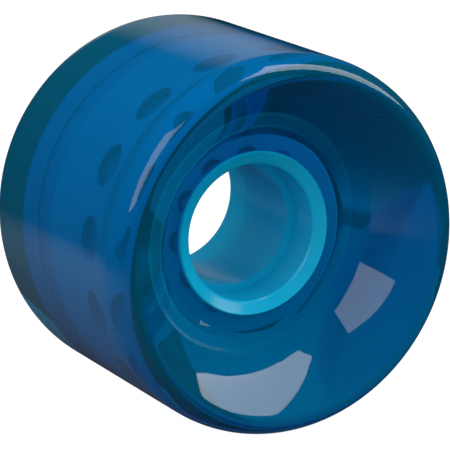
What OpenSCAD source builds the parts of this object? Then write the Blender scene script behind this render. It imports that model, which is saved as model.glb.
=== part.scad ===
// Cast-urethane wheel on a moulded core, for 22 mm bearings.
// Millimetres. The axle runs along Y, the deep front face looks towards -Y and the origin
// is on the axle, half-way across the wheel.

/* [Tyre] */
// overall diameter
wheel_d = 60; // [56:0.5:72]
// overall width, lip to lip
wheel_w = 46; // [44:0.5:54]
// diameter of the lips' crests
lip_d = 54.2; // [53:0.2:55]
// rounding between the tread and the lips
edge_r = 7; // [6.5:0.5:8]
// rounding over the crest of each lip
bead_r = 2; // [1:0.25:2.5]
// radius of the arc in which the front flares from the core to the lip
flare_r = 28; // [24:1:32]
// slope at which that arc runs into the lip's rounding
flare_slope = 33; // [31:1:40]
// outer diameter of the flat ring of urethane around the core's rear end
floor_d = 37.2; // [34:0.2:40]
// depth of the front floor below the front lip
front_depth = 12.4; // [11:0.2:13]
// depth of the rear floor below the rear lip
rear_depth = 4.45; // [4.25:0.05:6]
// how much each floor rises from the core to the foot of its wall
floor_rise = 0.4; // [0:0.1:1]

/* [Core] */
// outer diameter of the tube that holds the bearings
tube_d = 26.4; // [25.4:0.1:27.4]
// how far the tube's ends stand out of the floors
tube_proud = 0.35; // [0.1:0.05:0.6]
// width of the collar at each end of the tube
collar_w = 1.2; // [1:0.1:1.6]
// diameter of the tube's neck between a collar and the drum
neck_d = 24.4; // [23.8:0.1:25.2]
// outer diameter of the drum around the tube
drum_d = 33.2; // [32:0.2:36]
// width of the drum
drum_w = 17.8; // [16:0.2:19]
// how far the drum's front lies below the front floor
drum_sunk = 3.3; // [2.5:0.1:4.5]
// diameter of the bearing seats
seat_d = 22; // [21.9:0.05:22.1]
// length of the front bearing seat
front_seat_l = 6.3; // [6:0.1:7.5]
// length of the rear bearing seat
rear_seat_l = 7.6; // [6:0.1:8]
// diameter of the bore between the seats
bore_d = 19.9; // [17:0.1:20.5]

/* [Pockets] */
// number of round pockets around the drum
pockets = 12; // [6:1:13]
// diameter of each pocket
pocket_d = 5.2; // [3:0.1:5.4]
// distance from the drum's front face to the pockets' centres
pocket_inset = 3.6; // [3.4:0.1:6]
// depth of each pocket
pocket_depth = 3.2; // [1:0.1:4]
// angle of the first pocket around the axle
pocket_start = 1; // [0:0.5:30]
// diameter of the half-round notch that leads back to each pocket from the drum's front
notch_d = 3.8; // [2:0.1:4.4]
// depth of each notch
notch_depth = 3; // [2:0.1:3.3]

/* [Hidden] */
wheel_r = wheel_d / 2;
tube_r = tube_d / 2;
neck_r = neck_d / 2;
drum_r = drum_d / 2;
floor_r = floor_d / 2;
seat_r = seat_d / 2;
bore_r = bore_d / 2;

// a lip is a bead of bead_r that the rounding of edge_r runs into
bead = [lip_d / 2, wheel_w / 2 - bead_r];
edge_x = wheel_r - edge_r;
edge_y = bead[1] - sqrt(pow(edge_r - bead_r, 2) - pow(bead[0] - edge_x, 2));
edge_turn = atan2(bead[1] - edge_y, bead[0] - edge_x);

front_floor = wheel_w / 2 - front_depth;
rear_floor = wheel_w / 2 - rear_depth;

// the front wall is a large arc that the bead's continues; it starts from the floor at its foot
flare = bead + (flare_r - bead_r) * [sin(flare_slope), -cos(flare_slope)];
flare_top = bead + bead_r * [-sin(flare_slope), cos(flare_slope)];
flare_y = front_floor + floor_rise;
flare_foot = [flare[0] - sqrt(pow(flare_r, 2) - pow(flare_y - flare[1], 2)), flare_y];

// the rear wall is a straight slope that touches the bead
slope_foot = [floor_r, rear_floor + floor_rise];
slope_reach = norm(bead - slope_foot);
slope_turn = atan2(bead[1] - slope_foot[1], bead[0] - slope_foot[0]) + asin(bead_r / slope_reach);
slope_l = sqrt(pow(slope_reach, 2) - pow(bead_r, 2));
slope_top = slope_foot + slope_l * [cos(slope_turn), sin(slope_turn)];

front_end = front_floor + tube_proud;
rear_end = rear_floor + tube_proud;
drum_front = front_floor - drum_sunk;
drum_rear = drum_front - drum_w;

// each mouth of the tube is a shallow cone, with a small bevel into the seat
mouth_r = seat_r + 0.3;
mouth_drop = 0.9;
bevel = 0.3;
tube_edge = 0.25;
drum_edge = 0.4;

// how far each notch stops short of the neck
notch_gap = 0.15;

// how far a cutter runs past the face that it cuts
clear = 1;

core_colour = [0.03, 0.62, 0.74];
tyre_colour = [0.02, 0.33, 0.55, 0.75];

// which piece to show

// turns what stands on the Z axis so that it lies along Y, with its top at the front
module along_axle() {
    rotate([90, 0, 0]) children();
}

// a section's points for the rear side, in the order that closes it
function rear_side(points) = [for (i = [len(points) - 1 : -1 : 0]) [points[i][0], -points[i][1]]];

// one end of the core, from its bore out to the mouth and back to the drum's face
function core_end(end, seat_l, drum_face) =
    let (seat_mouth = end - mouth_drop - bevel) [
        [bore_r, seat_mouth - seat_l],
        [seat_r, seat_mouth - seat_l],
        [seat_r, seat_mouth],
        [mouth_r, end - mouth_drop],
        [tube_r - tube_edge, end],
        [tube_r, end - tube_edge],
        [tube_r, end - collar_w],
        [neck_r, end - collar_w],
        [neck_r, drum_face],
        [drum_r - drum_edge, drum_face],
        [drum_r, drum_face - drum_edge],
    ];

// each pocket runs in from the drum's side, and its notch runs back to it beside the neck
module pocket_cutters() {
    for (i = [0 : pockets - 1])
        rotate([0, 0, pocket_start + i * 360 / pockets]) {
            translate([drum_r - pocket_depth, 0, drum_front - pocket_inset])
                rotate([0, 90, 0])
                    cylinder(h = pocket_depth + clear, d = pocket_d);
            difference() {
                translate([neck_r, 0, drum_front - notch_depth])
                    cylinder(h = notch_depth + clear, d = notch_d);
                cylinder(h = wheel_w, r = neck_r + notch_gap, center = true);
            }
        }
}

// moulded core: bearing tube, drum and pockets in one piece
module core() {
    color(core_colour) along_axle() difference() {
        rotate_extrude() polygon(concat(
            core_end(front_end, front_seat_l, drum_front),
            rear_side(core_end(rear_end, rear_seat_l, drum_w - drum_front))
        ));
        pocket_cutters();
    }
}

// the room that the core takes up in the urethane
module core_room() {
    difference() {
        rotate_extrude() polygon([
            [0, front_end],
            [tube_r, front_end],
            [tube_r, front_end - collar_w],
            [neck_r, front_end - collar_w],
            [neck_r, drum_front],
            [drum_r - drum_edge, drum_front],
            [drum_r, drum_front - drum_edge],
            [drum_r, drum_rear + drum_edge],
            [drum_r - drum_edge, drum_rear],
            [neck_r, drum_rear],
            [neck_r, collar_w - rear_end],
            [tube_r, collar_w - rear_end],
            [tube_r, -rear_end],
            [0, -rear_end],
        ]);
        pocket_cutters();
    }
}

// one side of the tyre, from the floor round the core out to the tread
function tyre_end(floor_y, foot, top) = [
    [neck_r - clear, floor_y],
    [tube_r, floor_y],
    foot,
    top,
    bead,
    [wheel_r, edge_y],
];

// the urethane between the front wall's arc and the straight line under it
module flared_wall() {
    rotate_extrude() intersection() {
        translate(flare) circle(r = flare_r);
        polygon([
            [flare_foot[0], flare_y - clear],
            [bead[0], flare_y - clear],
            [bead[0], flare_top[1]],
            [flare_foot[0], flare_top[1]],
        ]);
    }
}

// a round lip, and the rounding that runs from it to the tread
module lip() {
    rotate_extrude() translate(bead) circle(r = bead_r);
    rotate_extrude() intersection() {
        translate([edge_x, edge_y]) circle(r = edge_r);
        polygon([
            [edge_x, edge_y],
            [edge_x + 2 * edge_r, edge_y],
            [edge_x, edge_y] + 2 * edge_r * [cos(edge_turn), sin(edge_turn)],
        ]);
    }
}

// urethane tyre, cast round the core and into its pockets
module tyre() {
    color(tyre_colour) along_axle() difference() {
        union() {
            rotate_extrude() polygon(concat(
                tyre_end(front_floor, flare_foot, flare_top),
                rear_side(tyre_end(rear_floor, slope_foot, slope_top))
            ));
            flared_wall();
            lip();
            mirror([0, 0, 1]) lip();
        }
        core_room();
    }
}

core();
tyre();
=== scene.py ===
import math
import bpy
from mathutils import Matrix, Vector


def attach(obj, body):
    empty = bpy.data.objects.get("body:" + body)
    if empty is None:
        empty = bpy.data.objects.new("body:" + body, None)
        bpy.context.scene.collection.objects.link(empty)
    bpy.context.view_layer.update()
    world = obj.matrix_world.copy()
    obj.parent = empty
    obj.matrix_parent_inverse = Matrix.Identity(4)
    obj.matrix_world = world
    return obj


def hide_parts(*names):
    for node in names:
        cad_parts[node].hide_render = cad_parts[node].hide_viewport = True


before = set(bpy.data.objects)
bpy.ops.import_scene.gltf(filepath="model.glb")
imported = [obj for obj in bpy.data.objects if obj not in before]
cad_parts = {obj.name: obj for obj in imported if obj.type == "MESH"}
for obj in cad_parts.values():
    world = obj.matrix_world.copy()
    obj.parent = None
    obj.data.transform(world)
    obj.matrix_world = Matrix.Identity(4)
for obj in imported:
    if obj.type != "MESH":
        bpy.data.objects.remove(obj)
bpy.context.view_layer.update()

# Core
# The injection-moulded cyan core holds the bearings. It is one glossy, slightly translucent
# moulding: a tube with a seat at each end and a drum with pockets that the urethane grips.
# Its shape is the CAD node's; the material adds rounded edges, flow marks and fine mould grain.
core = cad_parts["core"]
bare_r = 0.0133  # the urethane covers the core outside this radius
edge_rounding = 0.00015
grain_height = 0.00002
plastic_ior = 1.5


def add_node(tree, kind, **settings):
    node = tree.nodes.new(kind)
    for name, value in settings.items():
        setattr(node, name, value)
    return node


def new_material(name):
    material = bpy.data.materials.new(name)
    material.use_nodes = True
    material.node_tree.nodes.clear()
    return material, material.node_tree


def noise_on(tree, scale, detail, stretch=(1, 1, 1)):
    """Noise over the piece's own coordinates, in metres, drawn out by stretch."""
    where = add_node(tree, "ShaderNodeTexCoord")
    shape = add_node(tree, "ShaderNodeMapping")
    shape.inputs["Scale"].default_value = stretch
    noise = add_node(tree, "ShaderNodeTexNoise")
    noise.inputs["Scale"].default_value = scale
    noise.inputs["Detail"].default_value = detail
    tree.links.new(where.outputs["Object"], shape.inputs["Vector"])
    tree.links.new(shape.outputs["Vector"], noise.inputs["Vector"])
    return noise


def ranged(tree, source, low, high, start=0.3, end=0.7):
    """The source's swing, by default the middle of a noise's, spread from low to high."""
    spread = add_node(tree, "ShaderNodeMapRange")
    spread.inputs["From Min"].default_value = start
    spread.inputs["From Max"].default_value = end
    spread.inputs["To Min"].default_value = low
    spread.inputs["To Max"].default_value = high
    tree.links.new(source, spread.inputs["Value"])
    return spread.outputs["Result"]


def axle_distance(tree):
    """How far from the axle a point lies."""
    where = add_node(tree, "ShaderNodeTexCoord")
    flat = add_node(tree, "ShaderNodeVectorMath", operation="MULTIPLY")
    flat.inputs[1].default_value = (1, 0, 1)
    length = add_node(tree, "ShaderNodeVectorMath", operation="LENGTH")
    tree.links.new(where.outputs["Object"], flat.inputs[0])
    tree.links.new(flat.outputs["Vector"], length.inputs[0])
    return length.outputs["Value"]


def axle_place(tree):
    """How far along the axle a point lies."""
    where = add_node(tree, "ShaderNodeTexCoord")
    apart = add_node(tree, "ShaderNodeSeparateXYZ")
    tree.links.new(where.outputs["Object"], apart.inputs["Vector"])
    return apart.outputs["Y"]


def moulded_cyan():
    material, tree = new_material("moulded_cyan")
    plastic = add_node(tree, "ShaderNodeBsdfPrincipled")
    plastic.inputs["IOR"].default_value = plastic_ior
    out = add_node(tree, "ShaderNodeOutputMaterial")
    flow = noise_on(tree, 90, 3, (1, 0.35, 1))
    tint = add_node(tree, "ShaderNodeValToRGB")
    tint.color_ramp.elements[0].position = 0.3
    tint.color_ramp.elements[0].color = (0.002, 0.38, 0.6, 1)
    tint.color_ramp.elements[1].position = 0.7
    tint.color_ramp.elements[1].color = (0.004, 0.42, 0.66, 1)
    tree.links.new(flow.outputs["Fac"], tint.inputs["Fac"])
    tree.links.new(tint.outputs["Color"], plastic.inputs["Base Color"])
    tree.links.new(ranged(tree, flow.outputs["Fac"], 0.13, 0.22), plastic.inputs["Roughness"])
    bare = add_node(tree, "ShaderNodeMath", operation="LESS_THAN")
    bare.inputs[1].default_value = bare_r
    tree.links.new(axle_distance(tree), bare.inputs[0])
    shine = ranged(tree, bare.outputs["Value"], 0, 0.25, 0, 1)
    tree.links.new(shine, plastic.inputs["Specular IOR Level"])
    edges = add_node(tree, "ShaderNodeBevel", samples=6)
    edges.inputs["Radius"].default_value = edge_rounding
    grain = add_node(tree, "ShaderNodeBump")
    grain.inputs["Strength"].default_value = 0.15
    grain.inputs["Distance"].default_value = grain_height
    tree.links.new(noise_on(tree, 2500, 2).outputs["Fac"], grain.inputs["Height"])
    tree.links.new(edges.outputs["Normal"], grain.inputs["Normal"])
    tree.links.new(grain.outputs["Normal"], plastic.inputs["Normal"])
    tree.links.new(plastic.outputs["BSDF"], out.inputs["Surface"])
    return material


core.data.materials.clear()
core.data.materials.append(moulded_cyan())

# Tyre
# The tyre is translucent blue polyurethane, poured round the core and left glossy by the
# polished mould. It is one closed revolved skin; inside the core's wall it is hidden, so the
# urethane fills the pockets and notches as it does in the real wheel.
width = 0.046
tread_r = 0.030
lip_r = 0.0271
bead_r = 0.002  # rounding of the lip itself
edge_r = 0.007  # rounding from the lip to the tread
flare_r = 0.028  # arc in which the front opens from the core to the lip
flare_turn = math.radians(33)
floor_r = 0.0186  # outer edge of the rear's flat floor
front_floor = 0.0106
rear_floor = 0.01855
floor_rise = 0.0004
ring_r = 0.0132  # where the urethane meets the core's bare ring
collar_r = 0.0127  # from here inward the skin runs hidden inside the core's wall
inner_r = 0.0117
hidden_drop = 0.0011
hidden_rise = 0.0003
turns, lip_steps, flare_steps, slope_steps, tread_steps, floor_steps = 256, 20, 48, 12, 10, 4

bead = Vector((lip_r, width / 2 - bead_r))
edge_x = tread_r - edge_r
edge_y = bead.y - math.sqrt((edge_r - bead_r) ** 2 - (bead.x - edge_x) ** 2)
edge_turn = math.atan2(bead.y - edge_y, bead.x - edge_x)


def arc(centre, radius, start, end, steps):
    """Points along a round part of the section, from one turn to another."""
    return [Vector((centre[0] + radius * math.cos(start + (end - start) * i / steps),
                    centre[1] + radius * math.sin(start + (end - start) * i / steps)))
            for i in range(steps + 1)]


def straight(start, end, steps):
    """Points along a straight part of the section."""
    return [start.lerp(end, i / steps) for i in range(steps + 1)]


def floor_side(floor, foot):
    """From inside the core's wall over the flat floor to the foot of the side's wall."""
    return [Vector((inner_r, floor - hidden_drop)), Vector((collar_r, floor - hidden_rise)),
            Vector((collar_r, floor))] + straight(Vector((ring_r, floor)), foot, floor_steps)


def lip_side(start):
    """From the wall's upper end over the lip and the tread's rounding."""
    return (arc(bead, bead_r, start, edge_turn, lip_steps)[1:]
            + arc((edge_x, edge_y), edge_r, edge_turn, 0, lip_steps)[1:])


def front_side():
    """The front flares from the core to the lip in one large arc, which the bead continues."""
    start = flare_turn + math.pi / 2
    middle = bead - (flare_r - bead_r) * Vector((math.cos(start), math.sin(start)))
    foot_y = front_floor + floor_rise
    foot_turn = math.pi - math.asin((foot_y - middle.y) / flare_r)
    wall = arc(middle, flare_r, foot_turn, start, flare_steps)
    return floor_side(front_floor, wall[0]) + wall[1:] + lip_side(start)


def rear_side():
    """The rear is shallow: a straight slope from its floor up to the lip."""
    foot = Vector((floor_r, rear_floor + floor_rise))
    reach = (bead - foot).length
    slope = math.atan2(bead.y - foot.y, bead.x - foot.x) + math.asin(bead_r / reach)
    wall_l = math.sqrt(reach ** 2 - bead_r ** 2)
    top = foot + wall_l * Vector((math.cos(slope), math.sin(slope)))
    wall = straight(foot, top, slope_steps)
    return [Vector((p.x, -p.y)) for p in
            floor_side(rear_floor, foot) + wall[1:] + lip_side(slope + math.pi / 2)]


def revolved(name, section):
    """A closed skin: the section's points (radius, towards the front) turned round the axle."""
    count = len(section)
    verts = [(p.x * math.cos(a), -p.y, p.x * math.sin(a))
             for a in (2 * math.pi * k / turns for k in range(turns)) for p in section]
    faces = [(k * count + j, k * count + (j + 1) % count,
              (k + 1) % turns * count + (j + 1) % count, (k + 1) % turns * count + j)
             for k in range(turns) for j in range(count)]
    mesh = bpy.data.meshes.new(name)
    mesh.from_pydata(verts, [], faces)
    mesh.update()
    mesh.shade_smooth()
    piece = bpy.data.objects.new(name, mesh)
    bpy.context.scene.collection.objects.link(piece)
    return piece


front = front_side()
rear = rear_side()
tread = straight(front[-1], rear[-1], tread_steps)[1:-1]
tyre = revolved("tyre_skin", front + tread + rear[::-1])
creases = tyre.modifiers.new("creases", "EDGE_SPLIT")
creases.split_angle = math.radians(20)

urethane_ior = 1.5
haze = 0.1  # share of the surface that scatters, for the milky look
polish_height = 0.000012
absorption = 400  # per metre


def blue_urethane():
    """Clear blue through its depth, with fine polishing lines round the axle."""
    material, tree = new_material("blue_urethane")
    urethane = add_node(tree, "ShaderNodeBsdfPrincipled")
    urethane.inputs["Base Color"].default_value = (0, 0.52, 0.86, 1)
    urethane.inputs["IOR"].default_value = urethane_ior
    urethane.inputs["Transmission Weight"].default_value = 1 - haze
    urethane.inputs["Roughness"].default_value = 0.02
    around = add_node(tree, "ShaderNodeCombineXYZ")
    tree.links.new(axle_distance(tree), around.inputs["X"])
    tree.links.new(axle_place(tree), around.inputs["Y"])
    polish = add_node(tree, "ShaderNodeTexNoise")
    polish.inputs["Scale"].default_value = 1400
    polish.inputs["Detail"].default_value = 4
    tree.links.new(around.outputs["Vector"], polish.inputs["Vector"])
    waves = noise_on(tree, 60, 2)
    uneven = add_node(tree, "ShaderNodeMath", operation="MULTIPLY_ADD")
    uneven.inputs[1].default_value = 6
    tree.links.new(waves.outputs["Fac"], uneven.inputs[0])
    tree.links.new(polish.outputs["Fac"], uneven.inputs[2])
    skin = add_node(tree, "ShaderNodeBump")
    skin.inputs["Strength"].default_value = 0.2
    skin.inputs["Distance"].default_value = polish_height
    tree.links.new(uneven.outputs["Value"], skin.inputs["Height"])
    tree.links.new(skin.outputs["Normal"], urethane.inputs["Normal"])
    depth = add_node(tree, "ShaderNodeVolumeAbsorption")
    depth.inputs["Color"].default_value = (0, 0.95, 0.98, 1)
    depth.inputs["Density"].default_value = absorption
    out = add_node(tree, "ShaderNodeOutputMaterial")
    tree.links.new(urethane.outputs["BSDF"], out.inputs["Surface"])
    tree.links.new(depth.outputs["Volume"], out.inputs["Volume"])
    return material


tyre.data.materials.append(blue_urethane())
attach(tyre, "root")
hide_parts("tyre")

# Floor
# The wheel stands on its tread on a plain pale table. To the eye the table is white; the
# urethane mirrors it dimly, save for a painted pool of glow close by on the wheel's left.
floor_half = 3
floor_mesh = bpy.data.meshes.new("floor")
floor_mesh.from_pydata([(-floor_half, -floor_half, 0), (floor_half, -floor_half, 0),
                        (floor_half, floor_half, 0), (-floor_half, floor_half, 0)],
                       [], [(0, 1, 2, 3)])
floor = bpy.data.objects.new("floor", floor_mesh)
floor.location.z = -tread_r
bpy.context.scene.collection.objects.link(floor)


def pale_table():
    """Pale paint for rays from the camera and part of the scattered ones; dim for the rest,
    with a painted glow patch close by on the wheel's left.
    """
    material, tree = new_material("pale_floor")
    paint = add_node(tree, "ShaderNodeBsdfDiffuse")
    paint.inputs["Color"].default_value = (0.1, 0.1, 0.1, 1)
    lit = add_node(tree, "ShaderNodeEmission")
    lit.inputs["Strength"].default_value = 0.97
    white = add_node(tree, "ShaderNodeAddShader")
    tree.links.new(paint.outputs["BSDF"], white.inputs[0])
    tree.links.new(lit.outputs["Emission"], white.inputs[1])

    where = add_node(tree, "ShaderNodeTexCoord")
    from_wheel = add_node(tree, "ShaderNodeVectorMath", operation="LENGTH")
    apart = add_node(tree, "ShaderNodeSeparateXYZ")
    tree.links.new(where.outputs["Object"], from_wheel.inputs[0])
    tree.links.new(where.outputs["Object"], apart.inputs["Vector"])
    # Painted pool of light: the floor glows more close by on the wheel's left, seen only by
    # reflected and scattered rays.
    glow_near_wheel = ranged(tree, from_wheel.outputs["Value"], 0.28, 0.02, 0.1, 0.17)
    glow_on_left = ranged(tree, apart.outputs["X"], 1, 0.08, -0.08, -0.01)
    painted_glow_patch = add_node(tree, "ShaderNodeMath", operation="MULTIPLY")
    tree.links.new(glow_near_wheel, painted_glow_patch.inputs[0])
    tree.links.new(glow_on_left, painted_glow_patch.inputs[1])
    dim_with_painted_glow = add_node(tree, "ShaderNodeEmission")
    tree.links.new(painted_glow_patch.outputs["Value"], dim_with_painted_glow.inputs["Strength"])

    rays = add_node(tree, "ShaderNodeLightPath")
    sees_white = add_node(tree, "ShaderNodeMath", operation="MULTIPLY_ADD", use_clamp=True)
    sees_white.inputs[1].default_value = 0.3
    tree.links.new(rays.outputs["Diffuse Depth"], sees_white.inputs[0])
    tree.links.new(rays.outputs["Is Camera Ray"], sees_white.inputs[2])
    table = add_node(tree, "ShaderNodeMixShader")
    tree.links.new(sees_white.outputs["Value"], table.inputs["Fac"])
    tree.links.new(dim_with_painted_glow.outputs["Emission"], table.inputs[1])
    tree.links.new(white.outputs["Shader"], table.inputs[2])
    out = add_node(tree, "ShaderNodeOutputMaterial")
    tree.links.new(table.outputs["Shader"], out.inputs["Surface"])
    return material


floor.data.materials.append(pale_table())

# Light
# The wheel stands in a white tent with a soft box on each side, a little to the front. The
# urethane mirrors the tent as dark, save for a faint glow behind the wheel.
world = bpy.data.worlds.new("studio")
bpy.context.scene.world = world
world.use_nodes = True
sky = world.node_tree
sky.nodes.clear()
rays = add_node(sky, "ShaderNodeLightPath")
direction = add_node(sky, "ShaderNodeTexCoord").outputs["Generated"]


def towards(aim, low, high, start, end):
    """A level that goes from low to high as the direction nears the aim."""
    along = add_node(sky, "ShaderNodeVectorMath", operation="DOT_PRODUCT")
    along.inputs[1].default_value = Vector(aim).normalized()
    sky.links.new(direction, along.inputs[0])
    return ranged(sky, along.outputs["Value"], low, high, start, end)


def level_for(ray, before, level):
    """The level before, except for rays of that kind, which see the new level."""
    mix = add_node(sky, "ShaderNodeMix")
    mix.clamp_factor = True
    sky.links.new(rays.outputs[ray], mix.inputs["Factor"])
    for socket, value in (("A", before), ("B", level)):
        if isinstance(value, float):
            mix.inputs[socket].default_value = value
        else:
            sky.links.new(value, mix.inputs[socket])
    return mix.outputs["Result"]


glow_behind = towards((0.35, 0.91, 0.22), 0.02, 0.42, 0.965, 0.995)
light_from_above = towards((-0.45, 0.3, 0.84), 0.95, 1.5, 0, 0.8)
level = level_for("Transmission Depth", glow_behind, 0.3)
level = level_for("Diffuse Depth", level, light_from_above)
level = level_for("Is Camera Ray", level, 1.0)
# Only rays that reach the tent meet its light, so each kind keeps its own level.
world.cycles.sampling_method = "NONE"
glow = add_node(sky, "ShaderNodeBackground")
sky.links.new(level, glow.inputs["Strength"])
out = add_node(sky, "ShaderNodeOutputWorld")
sky.links.new(glow.outputs["Background"], out.inputs["Surface"])


box_distance = 0.6


def soft_box(name, toward, wide, tall, strength):
    """A rectangular light facing the wheel from that direction; wide lies level."""
    light = bpy.data.lights.new(name, "AREA")
    light.shape = "RECTANGLE"
    light.size, light.size_y = wide, tall
    light.energy = strength * wide * tall * math.pi
    holder = bpy.data.objects.new(name, light)
    toward = Vector(toward).normalized()
    holder.location = toward * box_distance
    holder.rotation_mode = "QUATERNION"
    holder.rotation_quaternion = toward.to_track_quat("Z", "Y")
    holder.visible_transmission = False
    bpy.context.scene.collection.objects.link(holder)


soft_box("right_box", (0.6, -0.28, 0.72), 0.42, 0.72, 3.9)
soft_box("left_box", (-0.72, -0.35, 0.55), 0.36, 0.46, 2.3)

# Camera
# A long lens from the left of the front face and a little above.
azimuth, elevation, distance = math.radians(-28.03), math.radians(14.36), 0.4442
aside, lowered = 0.000494, 0.000969
back = Vector((math.sin(azimuth) * math.cos(elevation),
               -math.cos(azimuth) * math.cos(elevation), math.sin(elevation)))
right = Vector((math.cos(azimuth), math.sin(azimuth), 0))
lens = bpy.data.cameras.new("camera")
lens.sensor_width = 36
lens.lens = 223.1
lens.clip_start = 0.01
camera = bpy.data.objects.new("camera", lens)
camera.location = back * distance + right * aside - back.cross(right) * lowered
camera.rotation_mode = "QUATERNION"
camera.rotation_quaternion = back.to_track_quat("Z", "Y")
bpy.context.scene.collection.objects.link(camera)
bpy.context.scene.camera = camera

# Picture
# Enough bounces for light to cross the urethane, the core's pockets and the far wall.
scene = bpy.context.scene
scene.view_settings.view_transform = "Standard"
scene.cycles.max_bounces = 24
scene.cycles.transmission_bounces = 24
scene.cycles.glossy_bounces = 12
